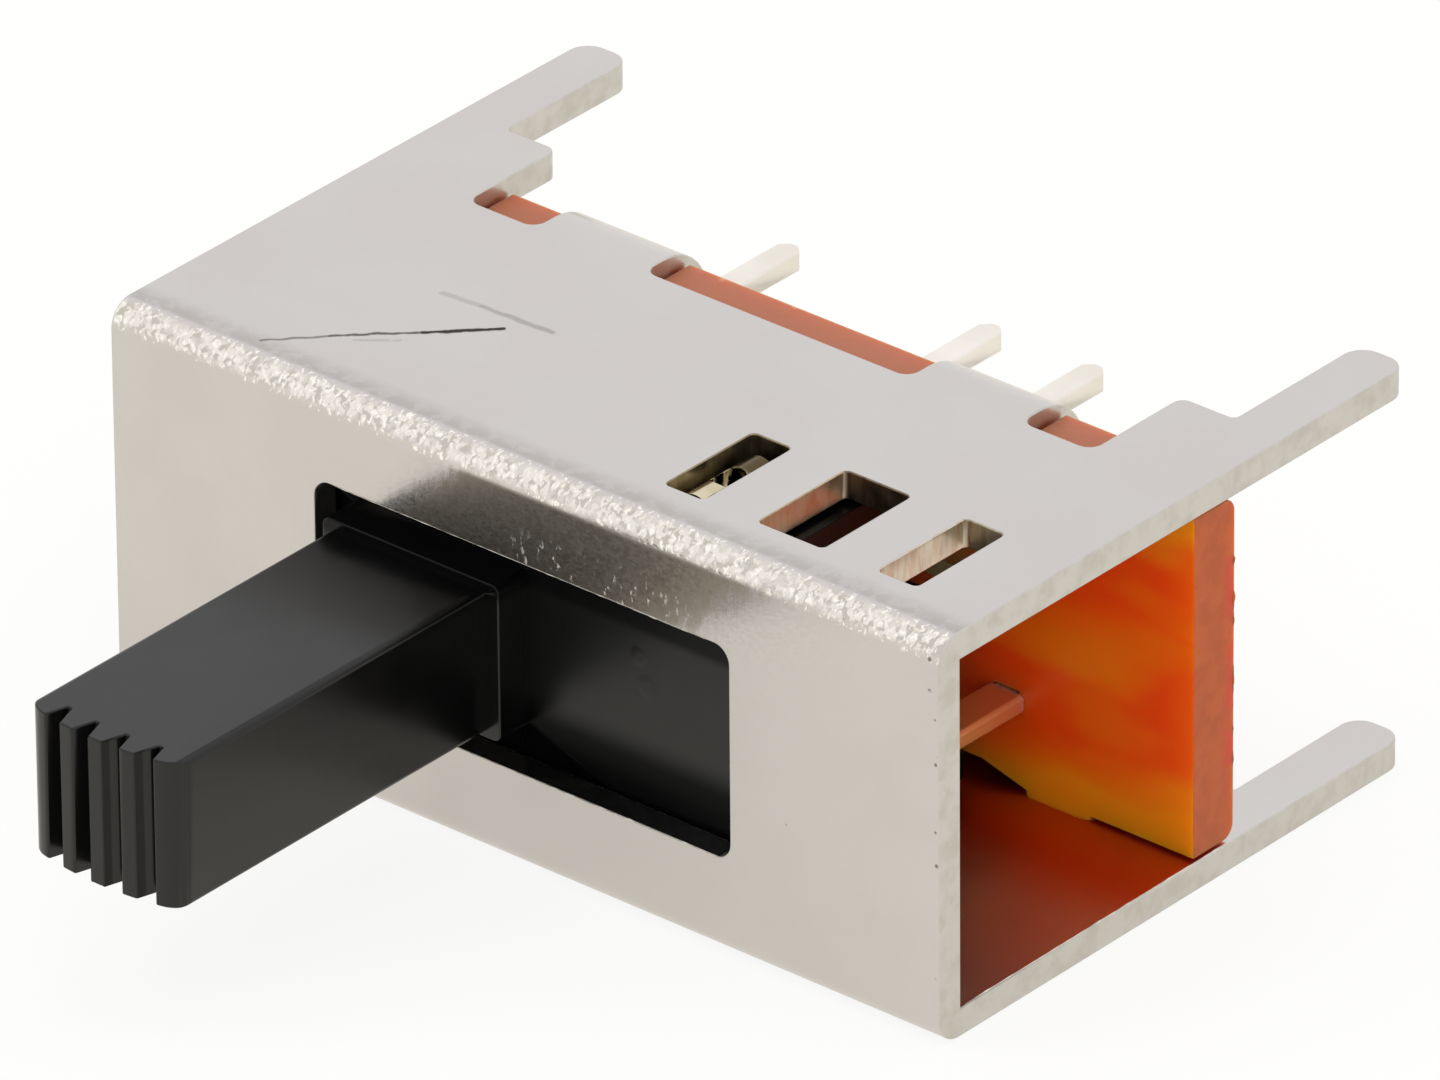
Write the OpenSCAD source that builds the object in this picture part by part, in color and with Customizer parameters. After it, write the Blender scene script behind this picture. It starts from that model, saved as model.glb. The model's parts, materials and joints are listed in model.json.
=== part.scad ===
// Three-position slide switch with a bent metal frame, for a printed circuit board.
// It lies on its lower side plate, with the lever towards -Y and the terminals towards +Y.
// The origin is at the middle of the object's footprint, on the surface that it lies on.

/* [Frame] */
// Length of the frame, along the lever's travel
frame_length = 17; // [16.6:0.1:18]
// Height of the frame over both side plates
frame_height = 7.2; // [6.8:0.1:7.8]
// Thickness of the sheet that the frame is bent from
sheet = 0.5; // [0.4:0.05:0.6]
// Outside radius of the two long bends
bend_radius = 0.45; // [0.3:0.05:0.6]
// Depth from the front face to the shoulders that stand on the board
seat_depth = 8.4; // [8:0.1:9.5]
// Width of each end wing of a side plate
wing_width = 2.08; // [1.8:0.02:2.3]
// Rounding of a wing's free corner
wing_corner = 0.2; // [0.1:0.05:0.4]
// Width of a soldering leg
leg_width = 1; // [0.7:0.05:1.3]
// Length of a soldering leg past its shoulder
leg_length = 3.1; // [2:0.1:4.5]
// Rounding of a leg's tip
leg_tip_radius = 0.38; // [0.1:0.02:0.46]
// Width of the small notch beside each wing
small_notch = 1.42; // [1.1:0.02:1.6]
// Width of a crimp tab
tab_width = 2.28; // [1.8:0.02:2.5]
// Straight end of a crimp tab, past its bend
tab_end = 0.3; // [0.1:0.05:0.6]
// Inside radius of a crimp tab's bend
crimp_radius = 0.6; // [0.4:0.05:0.8]
// Fillet in the corners of the notches
notch_fillet = 0.25; // [0.1:0.05:0.4]

/* [Front slot] */
// Length of the slot that the lever runs in
slot_length = 8.5; // [8.3:0.1:9.4]
// Height of the slot
slot_height = 3.8; // [3.3:0.1:4.4]
// Rounding of the slot's corners
slot_corner = 0.3; // [0.1:0.05:0.6]
// Height of the middle of slot and lever over the frame's middle
lever_rise = 0.07; // [0:0.01:0.15]

/* [Detent windows] */
// Travel from one position to the next, and the pitch of the windows
detent_step = 2.15; // [1.9:0.05:2.25]
// Distance from the frame's end to the middle window
window_end = 3.95; // [3.8:0.05:4.2]
// Distance from the front face to the windows
window_front = 1.15; // [0.9:0.05:1.5]
// Length of a window, from front to rear
window_length = 2.12; // [1.8:0.02:2.5]
// Width of the two outer windows
window_narrow = 0.78; // [0.7:0.02:1]
// Width of the middle window
window_wide = 1.31; // [1.1:0.01:1.5]
// Rounding of a window's corners
window_corner = 0.1; // [0.05:0.01:0.2]

/* [Terminal base] */
// Distance from the front face to the base
base_front = 6.25; // [6.1:0.05:6.5]
// Thickness of the base
base_thick = 1; // [0.85:0.05:1.2]
// Distance from the frame's ends to the ends of the base
base_inset = 0.05; // [0.02:0.01:0.4]
// Depth of the base's ears below the outer faces of the side plates
ear_recess = 0.3; // [0.1:0.05:0.35]
// Depth from a side plate's outer face to the base under a crimp tab
tab_relief = 0.8; // [0.7:0.05:1]
// Slant of the sides of that relief
relief_slant = 0.9; // [0.5:0.1:1.1]
// Rounding of the base's rear edges
base_edge = 0.25; // [0.1:0.05:0.4]

/* [Terminals] */
// Pitch of the terminals; the common one stands two pitches off
pin_pitch = 2.1; // [2:0.05:2.2]
// Distance from the frame's middle to the first throw's terminal
first_throw = 0.45; // [0.2:0.05:0.6]
// Depth of each row of terminals below its side plate's outer face
row_depth = 2.1; // [2.05:0.05:2.15]
// Width of a pin
pin_width = 0.46; // [0.4:0.02:0.6]
// Thickness of the strip that the terminals are made from
pin_thick = 0.34; // [0.24:0.02:0.36]
// Length of a pin past the frame's shoulders
pin_length = 2.7; // [1.5:0.1:4]
// Bevel at a pin's tip
pin_bevel = 0.16; // [0.05:0.01:0.18]
// Width of a throw's contact blade
blade_width = 0.74; // [0.65:0.02:0.9]
// Length of the contact blades inside the frame
blade_length = 1.6; // [1.4:0.05:1.8]
// Bevel on the sides of the contact blades
blade_bevel = 0.06; // [0.04:0.01:0.09]
// Width of the swelling that stakes a terminal behind the base
stake_width = 0.7; // [0.62:0.02:0.9]
// Length of that swelling
stake_length = 0.25; // [0.15:0.05:0.4]

/* [Slider] */
// Distance from the slider's end to the frame's end, in the first and the last position
slider_inset = 0.08; // [0:0.01:0.2]
// Running gap between the slider and the frame
run_gap = 0.08; // [0.04:0.01:0.12]
// Distance from the base to the slider's two rails
rail_gap = 0.4; // [0.2:0.05:0.6]
// Thickness of the two rails
rail_thick = 0.62; // [0.45:0.01:0.7]
// Distance from the base to the slider's middle rib
rib_gap = 1; // [0.6:0.05:1.4]
// Thickness of the middle rib
rib_thick = 1.3; // [1:0.05:1.4]
// Gap between the blades and the floor of their groove
blade_gap = 0.2; // [0.1:0.05:0.4]
// Rounding of the slider's four long edges
slider_edge = 0.12; // [0.05:0.01:0.2]
// Length of the collar that stands in the slot
collar_length = 3.65; // [3.4:0.05:3.7]
// Height of the collar
collar_height = 2.8; // [2.7:0.05:3.1]
// Height of the collar over the front face
collar_proud = 0.15; // [0:0.05:0.4]
// Rounding of the collar's corners
collar_corner = 0.15; // [0.05:0.01:0.3]

/* [Lever] */
// Width of the lever, along its travel
lever_width = 3.13; // [2.8:0.01:3.3]
// Height of the lever
lever_height = 2.6; // [2.3:0.01:2.65]
// Reach of the lever in front of the front face
lever_reach = 7.55; // [5:0.05:10]
// Radius of the crowned face at the lever's end
lever_crown = 6; // [4:0.5:12]
// Rounding of the lever's long edges
lever_edge = 0.12; // [0.05:0.01:0.25]
// Rounding of the corners beside the crowned face
lever_nose = 0.42; // [0.1:0.01:0.45]
// Number of grip grooves in the lever's end
grip_count = 4; // [2:1:4]
// Pitch of the grip grooves
grip_pitch = 0.63; // [0.56:0.01:0.7]
// Width of a grip groove at its mouth
grip_mouth = 0.34; // [0.3:0.01:0.42]
// Width of a grip groove at its floor
grip_floor = 0.08; // [0.05:0.01:0.2]
// Depth of the grip grooves
grip_depth = 0.42; // [0.2:0.02:0.6]

/* [Contact clips] */
// Thickness of the clips' spring strip
clip_thick = 0.2; // [0.12:0.01:0.22]
// Width of a clip's fingers
finger_width = 0.8; // [0.6:0.05:0.9]
// Half height of a clip at its back
clip_back = 0.6; // [0.5:0.02:0.62]
// Gap between a clip's fingers and the blade between them
contact_gap = 0.05; // [0.02:0.01:0.08]
// Depth of the pocket that holds a clip, below the groove
pocket_depth = 0.8; // [0.6:0.05:1]

/* [Detent spring] */
// Thickness of the leaf spring
leaf_thick = 0.15; // [0.1:0.01:0.18]
// Width of the leaf spring, from front to rear
leaf_width = 1.6; // [1.3:0.05:1.9]
// Depth of the leaf spring's seat in the slider
leaf_seat = 0.55; // [0.45:0.05:0.7]
// Outside radius of the spring's ridge, which stands in a window
ridge_radius = 0.34; // [0.24:0.01:0.36]
// Length of the oval opening in the middle of the ridge, from front to rear
relief_length = 0.6; // [0.55:0.05:0.8]
// Width of that opening
relief_width = 0.46; // [0.3:0.02:0.5]
// Length of the flat foot at each end of the spring
leaf_foot = 0.3; // [0.2:0.05:0.4]
// Reach of the spring's longer arm from its ridge
long_arm = 2.2; // [1.8:0.1:2.6]
// Reach of the spring's shorter arm from its ridge
short_arm = 0.8; // [0.75:0.05:1.5]

/* [Fits] */
// Gap between pieces that seat on each other
seat_gap = 0.02; // [0.01:0.01:0.04]
// Gap round the base, where the frame holds it
base_gap = 0.05; // [0.02:0.01:0.08]

/* [Hidden] */
$fn = 48;

mid_z = frame_height / 2;
lever_z = mid_z + lever_rise;
half_length = frame_length / 2;
leg_tip = seat_depth + leg_length;
origin_y = (leg_tip - lever_reach) / 2;
cut = 1;                                 // how far a cutter runs past what it cuts

notch_front = base_front - base_gap;
wing_x = half_length - wing_width;
tab_outer = wing_x - small_notch;
tab_inner = tab_outer - tab_width;
leg_fillet = 0.12;
window_x = half_length - window_end;     // the middle window

base_rear = base_front + base_thick;
tab_inside = base_rear + seat_gap;       // inner face of a tab's bent end
crimp_y = tab_inside - crimp_radius;     // axis of a tab's bend
crimp_depth = sheet + crimp_radius;

row_upper = frame_height - row_depth;
row_lower = row_depth;
pin_tip = seat_depth + pin_length;
common_x = first_throw - 2 * pin_pitch;
second_x = first_throw + pin_pitch;
third_x = first_throw + 2 * pin_pitch;
blade_front = base_front - blade_length;

slider_x = -detent_step;                 // the slider rests in its first position
slider_length = frame_length - 2 * detent_step - 2 * slider_inset;
deck_y = sheet + run_gap;
slider_low = sheet + run_gap;
slider_high = frame_height - slider_low;
rail_rear = base_front - rail_gap;
rib_rear = base_front - rib_gap;
groove_y = blade_front - blade_gap;
pocket_y = groove_y - pocket_depth;

clip_left = common_x - detent_step;      // a clip's two pairs of fingers, at rest
clip_right = second_x - detent_step;
clip_start = clip_left - finger_width / 2;
clip_end = clip_right + finger_width / 2;
clip_y = pocket_y + seat_gap + clip_thick / 2;
jaw_half = pin_thick / 2 + contact_gap + clip_thick / 2;
jaw_y = (blade_front + base_front) / 2;
flare_y = base_front - 0.4;

leaf_x = slider_x + window_x;
leaf_floor = slider_high - leaf_seat;
leaf_y = window_front + (window_length - leaf_width) / 2;
ridge_z = frame_height - sheet;          // axis of the ridge
ridge_line = ridge_radius - leaf_thick / 2;

// Moves what is measured from the frame's front face to the footprint's middle
module placed() {
    translate([0, -origin_y, 0]) children();
}

// Turns an outline drawn in Y and Z into a bar along X, from x0 to x1
module along_x(x0, x1) {
    translate([x0, 0, 0]) rotate([90, 0, 90]) linear_extrude(x1 - x0) children();
}

// Turns an outline drawn in X and Z into a bar along Y, from y0 to y1
module along_y(y0, y1) {
    translate([0, y1, 0]) rotate([90, 0, 0]) linear_extrude(y1 - y0) children();
}

// A box from its two corners
module span(low, high) {
    translate(low) cube(high - low);
}

// A rectangle with round corners, about its middle
module round_rect(size, r) {
    square([size.x - 2 * r, size.y], center = true);
    square([size.x, size.y - 2 * r], center = true);
    for (sx = [-1, 1], sy = [-1, 1])
        translate([sx * (size.x / 2 - r), sy * (size.y / 2 - r)]) circle(r);
}

// The web of a concave fillet whose corner is at the origin and opens towards +X and +Y
module fillet(r) {
    difference() {
        square(r);
        translate([r, r]) circle(r);
    }
}

// Both halves of what is drawn for +X
module both_ends() {
    children();
    mirror([1, 0, 0]) children();
}

// The same thing at the upper and at the lower side plate
module both_sides() {
    children();
    translate([0, 0, frame_height]) mirror([0, 0, 1]) children();
}

// Unit vector from a to b
function along(a, b) = (b - a) / norm(b - a);

// Half-width vector of a ribbon at point i, mitred where the line turns
function mitre(p, i, t) =
    let (
        before = along(p[max(i - 1, 0)], p[max(i, 1)]),
        after = along(p[min(i, len(p) - 2)], p[min(i + 1, len(p) - 1)]),
        n0 = [-before.y, before.x],
        n1 = [-after.y, after.x],
        m = (n0 + n1) / norm(n0 + n1)
    )
    m * t / 2 / (m * n0);

// Outline of a strip of thickness t that follows the line p
function ribbon(p, t) = concat(
    [for (i = [0 : len(p) - 1]) p[i] + mitre(p, i, t)],
    [for (i = [len(p) - 1 : -1 : 0]) p[i] - mitre(p, i, t)]
);

// Section of the channel's front, in Y and Z
module channel_section() {
    difference() {
        union() {
            translate([bend_radius, 0]) square([bend_radius, frame_height]);
            translate([0, bend_radius]) square([2 * bend_radius, frame_height - 2 * bend_radius]);
            for (z = [bend_radius, frame_height - bend_radius])
                translate([bend_radius, z]) circle(bend_radius);
        }
        translate([sheet, sheet]) square([frame_length, frame_height - 2 * sheet]);
    }
}

// One end of a side plate, in X and Y: wing, shoulder, leg, notches and half of the middle
module plate_end() {
    translate([0, bend_radius]) square([half_length, notch_front - bend_radius]);
    difference() {
        translate([wing_x, bend_radius]) square([wing_width, seat_depth - bend_radius]);
        translate([wing_x + wing_corner, seat_depth - wing_corner]) rotate(90) wing_corner_cut();
    }
    translate([half_length - leg_width, seat_depth - cut])
        square([leg_width, leg_length + cut - leg_tip_radius]);
    translate([half_length - leg_width / 2, leg_tip - leg_width / 2])
        round_rect([leg_width, leg_width], leg_tip_radius);
    translate([tab_inner, notch_front]) mirror([1, 0]) fillet(notch_fillet);
    translate([tab_outer, notch_front]) fillet(notch_fillet);
    translate([wing_x, notch_front]) mirror([1, 0]) fillet(notch_fillet);
    translate([half_length - leg_width, seat_depth]) mirror([1, 0]) fillet(leg_fillet);
}

// What the wing's round corner takes away
module wing_corner_cut() {
    difference() {
        square(wing_corner + cut);
        circle(wing_corner);
    }
}

// Section of a crimp tab, in Y and Z from the side plate's outer face: root, bend and end
module crimp_section() {
    translate([notch_front - cut, 0]) square([crimp_y - notch_front + cut, sheet]);
    intersection() {
        translate([crimp_y, crimp_depth]) difference() {
            circle(crimp_depth);
            circle(crimp_radius);
        }
        translate([crimp_y, 0]) square(crimp_depth);
    }
    translate([tab_inside, crimp_depth]) square([sheet, tab_end]);
}

// The three windows that the detent spring snaps into
module detent_windows() {
    for (i = [-1 : 1])
        translate([window_x + i * detent_step, window_front + window_length / 2])
            round_rect([i == 0 ? window_wide : window_narrow, window_length], window_corner);
}

module frame() {
    color("silver") placed() difference() {
        union() {
            along_x(-half_length, half_length) channel_section();
            both_sides() both_ends() {
                linear_extrude(sheet) plate_end();
                along_x(tab_inner, tab_outer) crimp_section();
            }
        }
        along_y(-cut, sheet + cut)
            translate([0, lever_z]) round_rect([slot_length, slot_height], slot_corner);
        translate([0, 0, frame_height - sheet - cut]) linear_extrude(sheet + 2 * cut) detent_windows();
    }
}

// Section of the base between the side plates, in Y and Z
module base_section() {
    base_high = frame_height - 2 * (sheet + base_gap);
    translate([base_front, mid_z - base_high / 2]) square([base_thick - base_edge, base_high]);
    translate([base_front + base_thick / 2, mid_z]) round_rect([base_thick, base_high], base_edge);
}

// Room in the base for one upper crimp tab: a relief with slanting sides, and space for the bend
module tab_room() {
    x0 = tab_inner - base_gap;
    x1 = tab_outer + base_gap;
    shoulder_z = frame_height - sheet - base_gap;
    along_y(base_front - cut, base_rear + cut) polygon([
        [x0, frame_height], [x0, shoulder_z],
        [x0 + relief_slant, frame_height - tab_relief], [x1 - relief_slant, frame_height - tab_relief],
        [x1, shoulder_z], [x1, frame_height]
    ]);
    difference() {
        span([x0, crimp_y, frame_height - crimp_depth], [x1, base_rear + cut, frame_height]);
        along_x(x0 - cut, x1 + cut)
            translate([crimp_y, frame_height - crimp_depth]) circle(crimp_radius - seat_gap);
    }
}

module terminal_base() {
    base_x = half_length - base_inset;
    color("orange") placed() difference() {
        union() {
            along_x(-base_x, base_x) base_section();
            span([base_gap - tab_inner, base_front, ear_recess],
                [tab_inner - base_gap, base_rear, frame_height - ear_recess]);
            both_ends() span([tab_outer + base_gap, base_front, ear_recess],
                [wing_x - base_gap, base_rear, frame_height - ear_recess]);
        }
        both_sides() both_ends() tab_room();
        for (x = [common_x, first_throw, second_x, third_x], z = [row_lower, row_upper])
            span([x - pin_width / 2 - seat_gap, base_front - cut, z - pin_thick / 2 - seat_gap],
                [x + pin_width / 2 + seat_gap, base_rear + cut, z + pin_thick / 2 + seat_gap]);
    }
}

// One terminal: pin, staked swelling and the blade inside the frame, from x0 to x1
module terminal(x, z, x0, x1) {
    half = pin_width / 2;
    color("gainsboro") placed() {
        translate([x, 0, z - pin_thick / 2]) linear_extrude(pin_thick) polygon([
            [-half, base_front - cut / 2], [half, base_front - cut / 2],
            [half, pin_tip - pin_bevel], [half - pin_bevel, pin_tip],
            [pin_bevel - half, pin_tip], [-half, pin_tip - pin_bevel]
        ]);
        span([x - stake_width / 2, base_rear, z - pin_thick / 2],
            [x + stake_width / 2, base_rear + stake_length, z + pin_thick / 2]);
        along_y(blade_front, base_front) translate([0, z]) polygon([
            [x0, -pin_thick / 2 + blade_bevel], [x0 + blade_bevel, -pin_thick / 2],
            [x1 - blade_bevel, -pin_thick / 2], [x1, -pin_thick / 2 + blade_bevel],
            [x1, pin_thick / 2 - blade_bevel], [x1 - blade_bevel, pin_thick / 2],
            [x0 + blade_bevel, pin_thick / 2], [x0, pin_thick / 2 - blade_bevel]
        ]);
    }
}

// The common terminal's blade stays between one pair of fingers over the whole travel
module common_terminal(z) {
    reach = detent_step + finger_width / 2 + blade_bevel;
    terminal(common_x, z, common_x - reach, common_x + reach);
}

module throw_terminal(x, z) {
    terminal(x, z, x - blade_width / 2, x + blade_width / 2);
}

// Section of the slider's body, in Y and Z: two rails and a rib behind a solid core
module slider_section() {
    groove_high = mid_z - slider_low - rail_thick - rib_thick / 2;
    difference() {
        translate([(deck_y + rail_rear) / 2, mid_z])
            round_rect([rail_rear - deck_y, slider_high - slider_low], slider_edge);
        for (z = [slider_low + rail_thick, mid_z + rib_thick / 2])
            translate([groove_y, z]) square([frame_length, groove_high]);
        translate([rib_rear, slider_low + rail_thick])
            square([frame_length, slider_high - slider_low - 2 * rail_thick]);
    }
}

// A groove's outline from above, open towards -Y from the face at the origin
module grip_groove() {
    polygon([
        [-grip_mouth / 2, -cut], [grip_mouth / 2, -cut], [grip_mouth / 2, 0],
        [grip_floor / 2, grip_depth], [-grip_floor / 2, grip_depth], [-grip_mouth / 2, 0]
    ]);
}

// How far the crowned face falls back at a distance x from its middle
function crown_fall(x) = lever_crown - sqrt(pow(lever_crown, 2) - pow(x, 2));

// The lever's outline from above: a crowned end with round corners and grip grooves
module lever_outline() {
    nose_x = lever_width / 2 - lever_nose;
    nose_y = lever_crown - lever_reach - sqrt(pow(lever_crown - lever_nose, 2) - pow(nose_x, 2));
    face_x = nose_x * lever_crown / (lever_crown - lever_nose);
    difference() {
        union() {
            translate([-lever_width / 2, nose_y]) square([lever_width, deck_y + cut - nose_y]);
            for (x = [-nose_x, nose_x])
                translate([x, nose_y]) circle(lever_nose);
            intersection() {
                translate([0, lever_crown - lever_reach]) circle(lever_crown, $fn = 180);
                translate([-face_x, -lever_reach - cut]) square([2 * face_x, nose_y + lever_reach + 2 * cut]);
            }
        }
        for (i = [0 : grip_count - 1]) {
            x = (i - (grip_count - 1) / 2) * grip_pitch;
            translate([x, crown_fall(x) - lever_reach]) grip_groove();
        }
    }
}

module lever() {
    intersection() {
        along_y(-lever_reach - cut, deck_y + cut)
            translate([0, lever_z]) round_rect([lever_width, lever_height], lever_edge);
        union() {
            linear_extrude(frame_height) lever_outline();
            span([-lever_width / 2, -collar_proud, 0], [lever_width / 2, deck_y + cut, frame_height]);
        }
    }
}

// Seat for the leaf spring in the slider
module leaf_room() {
    span([leaf_x - long_arm - seat_gap, leaf_y - seat_gap, leaf_floor],
        [leaf_x + short_arm + seat_gap, leaf_y + leaf_width + seat_gap, frame_height]);
}

module slider() {
    color([0.12, 0.12, 0.13]) placed() difference() {
        union() {
            along_x(slider_x - slider_length / 2, slider_x + slider_length / 2) slider_section();
            translate([slider_x, 0, 0]) {
                along_y(-collar_proud, deck_y + cut)
                    translate([0, lever_z]) round_rect([collar_length, collar_height], collar_corner);
                lever();
            }
        }
        leaf_room();
        for (z = [row_lower, row_upper])
            span([clip_start - seat_gap, pocket_y, z - clip_back - clip_thick / 2 - seat_gap],
                [clip_end + seat_gap, rail_rear + cut, z + clip_back + clip_thick / 2 + seat_gap]);
    }
}

// Line of a clip's fingers in Y and Z, from one flared lip round the back to the other
function jaw_line() =
    let (upper = [[clip_y, clip_back], [groove_y, clip_back], [jaw_y, jaw_half], [flare_y, clip_back]])
    concat([for (i = [3 : -1 : 0]) [upper[i].x, -upper[i].y]], upper);

module contact_clip(z) {
    color("peru") placed() translate([0, 0, z]) {
        span([clip_start, clip_y - clip_thick / 2, -clip_back - clip_thick / 2],
            [clip_end, clip_y + clip_thick / 2, clip_back + clip_thick / 2]);
        for (x = [clip_left, clip_right])
            along_x(x - finger_width / 2, x + finger_width / 2) polygon(ribbon(jaw_line(), clip_thick));
    }
}

// Line of one arm of the leaf spring in X and Z, from its foot up to the ridge
function arm_line(reach) =
    let (foot = leaf_floor + seat_gap + leaf_thick / 2)
    [
        [reach, foot], [reach - leaf_foot, foot],
        [ridge_line, slider_high - leaf_thick / 2], [ridge_line, ridge_z + seat_gap]
    ];

// Section of the spring's ridge in X and Z, with its axis at the plate's inner face
module ridge_section() {
    translate([0, ridge_z]) difference() {
        circle(ridge_radius);
        circle(ridge_radius - leaf_thick);
        translate([-ridge_radius, -2 * ridge_radius]) square(2 * ridge_radius);
    }
}

// The leaf without its opening, with the ridge at x = 0
module leaf() {
    along_y(leaf_y, leaf_y + leaf_width) ridge_section();
    along_y(leaf_y, leaf_y + leaf_width) polygon(ribbon(arm_line(short_arm), leaf_thick));
    mirror([1, 0, 0]) along_y(leaf_y, leaf_y + leaf_width) polygon(ribbon(arm_line(long_arm), leaf_thick));
}

module detent_spring() {
    color("lightgray") placed() translate([leaf_x, 0, 0]) difference() {
        leaf();
        translate([0, leaf_y + leaf_width / 2, slider_high]) linear_extrude(frame_height)
            round_rect([relief_width, relief_length], relief_width / 2 - seat_gap);
    }
}

frame();
terminal_base();
slider();
detent_spring();
contact_clip(row_upper);  // contact_clip_upper
contact_clip(row_lower);  // contact_clip_lower
common_terminal(row_upper);  // common_terminal_upper
throw_terminal(first_throw, row_upper);  // first_terminal_upper
throw_terminal(second_x, row_upper);  // second_terminal_upper
throw_terminal(third_x, row_upper);  // third_terminal_upper
common_terminal(row_lower);  // common_terminal_lower
throw_terminal(first_throw, row_lower);  // first_terminal_lower
throw_terminal(second_x, row_lower);  // second_terminal_lower
throw_terminal(third_x, row_lower);  // third_terminal_lower
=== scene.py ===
import json
import math

import bmesh
import bpy
import numpy as np
from mathutils import Matrix, Vector


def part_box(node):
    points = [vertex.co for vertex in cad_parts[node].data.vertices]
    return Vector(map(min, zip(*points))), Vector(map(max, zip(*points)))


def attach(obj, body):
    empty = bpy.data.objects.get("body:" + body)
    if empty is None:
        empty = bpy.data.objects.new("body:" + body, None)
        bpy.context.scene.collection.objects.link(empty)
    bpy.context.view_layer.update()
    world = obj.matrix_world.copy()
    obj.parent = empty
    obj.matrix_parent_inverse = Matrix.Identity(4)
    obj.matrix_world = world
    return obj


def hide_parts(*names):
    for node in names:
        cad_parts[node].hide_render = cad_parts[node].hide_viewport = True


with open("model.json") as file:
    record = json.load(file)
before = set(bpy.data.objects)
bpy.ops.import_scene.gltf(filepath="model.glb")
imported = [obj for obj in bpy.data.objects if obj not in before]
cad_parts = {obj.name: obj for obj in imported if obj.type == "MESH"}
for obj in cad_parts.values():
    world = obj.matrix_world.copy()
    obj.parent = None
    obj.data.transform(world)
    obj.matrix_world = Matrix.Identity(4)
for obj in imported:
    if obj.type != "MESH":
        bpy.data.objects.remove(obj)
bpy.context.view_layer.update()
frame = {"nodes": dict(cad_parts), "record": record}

# Slide switch lying on its lower side plate. Everything is in metres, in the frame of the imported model.
# +X runs along the lever's travel, the lever points to -Y and the pins to +Y.

mm = 0.001

frameLow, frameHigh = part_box("frame")
baseLow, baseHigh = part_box("terminal_base")
frontY = frameLow.y / mm                 # outer face of the front plate
topZ = frameHigh.z / mm                  # outer face of the upper side plate
endX = frameHigh.x / mm                  # right-hand end of the frame
baseFront = baseLow.y / mm               # face of the base towards the slider
baseRear = baseHigh.y / mm
sheetThick = 0.5
bendRadius = 0.45
slotBottom = 1.77
slotTop = 5.57


# camera
cameraPlace = {
    "azimuth": 40.5308,                  # degrees, from straight in front towards +X
    "elevation": 29.3303,
    "roll": -0.4877,
    "lens": 509.4,                       # mm on a 36 mm sensor
    "distance": 0.321193,
    "target": (0.0, 0.003025, 0.004),
    "aside": 0.00012749,                 # the target's offset in the picture, to the right and up
    "above": 0.00016182,
}


def addCamera(place):
    a, e, r = (math.radians(place[k]) for k in ("azimuth", "elevation", "roll"))
    forward = Vector((-math.sin(a) * math.cos(e), math.cos(a) * math.cos(e), -math.sin(e)))
    level = forward.cross(Vector((0, 0, 1))).normalized()
    upright = level.cross(forward)
    right = math.cos(r) * level + math.sin(r) * upright
    up = -math.sin(r) * level + math.cos(r) * upright
    target = Vector(place["target"])
    spot = target - forward * place["distance"] - right * place["aside"] - up * place["above"]
    data = bpy.data.cameras.new("photoCamera")
    data.lens = place["lens"]
    data.sensor_width = 36
    data.clip_start = 0.01
    data.clip_end = 5
    camera = bpy.data.objects.new("photoCamera", data)
    bpy.context.scene.collection.objects.link(camera)
    camera.matrix_world = Matrix((
        (right.x, up.x, -forward.x, spot.x),
        (right.y, up.y, -forward.y, spot.y),
        (right.z, up.z, -forward.z, spot.z),
        (0, 0, 0, 1),
    ))
    bpy.context.scene.camera = camera


addCamera(cameraPlace)
print("camera placed")


# node helpers
# Links a socket to an input, or writes a plain value there
def join(tree, value, socket):
    if isinstance(value, bpy.types.NodeSocket):
        tree.links.new(value, socket)
    else:
        socket.default_value = value


# A node of that kind with its settings; each input takes a number, a colour or another node's socket
def place(tree, kind, inputs=None, **settings):
    made = tree.nodes.new(kind)
    for key, value in settings.items():
        setattr(made, key, value)
    for key, value in (inputs or {}).items():
        join(tree, value, made.inputs[key])
    return made


def math2(tree, operation, a, b=0.0, clamp=False):
    return place(tree, "ShaderNodeMath", {0: a, 1: b}, operation=operation, use_clamp=clamp).outputs[0]


def add(tree, a, b):
    return math2(tree, "ADD", a, b)


def subtract(tree, a, b):
    return math2(tree, "SUBTRACT", a, b)


def multiply(tree, *values):
    product = values[0]
    for value in values[1:]:
        product = math2(tree, "MULTIPLY", product, value)
    return product


def greatest(tree, values):
    most = values[0]
    for value in values[1:]:
        most = math2(tree, "MAXIMUM", most, value)
    return most


def vector(tree, operation, a, b=(0.0, 0.0, 0.0), output="Vector"):
    return place(tree, "ShaderNodeVectorMath", {0: a, 1: b}, operation=operation).outputs[output]


def scaled(tree, a, factor):
    return place(tree, "ShaderNodeVectorMath", {0: a, "Scale": factor}, operation="SCALE").outputs[0]


def stretched(tree, point, scale, rotation=(0, 0, 0)):
    made = place(tree, "ShaderNodeMapping", {"Vector": point, "Rotation": rotation, "Scale": scale})
    return made.outputs[0]


def axes(tree, point):
    return place(tree, "ShaderNodeSeparateXYZ", {0: point}).outputs


# Takes a value smoothly from low..high to outLow..outHigh, held at the ends; low may be the greater one
def ramp(tree, value, low, high, outLow=0.0, outHigh=1.0):
    return place(tree, "ShaderNodeMapRange", {0: value, 1: low, 2: high, 3: outLow, 4: outHigh},
                 interpolation_type="SMOOTHSTEP").outputs[0]


# Noise value, or with output=1 its three-part colour
def noise(tree, point, scale, detail=2.0, roughness=0.5, output=0):
    return place(tree, "ShaderNodeTexNoise", {"Vector": point, "Scale": scale, "Detail": detail,
                                              "Roughness": roughness}).outputs[output]


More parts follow.
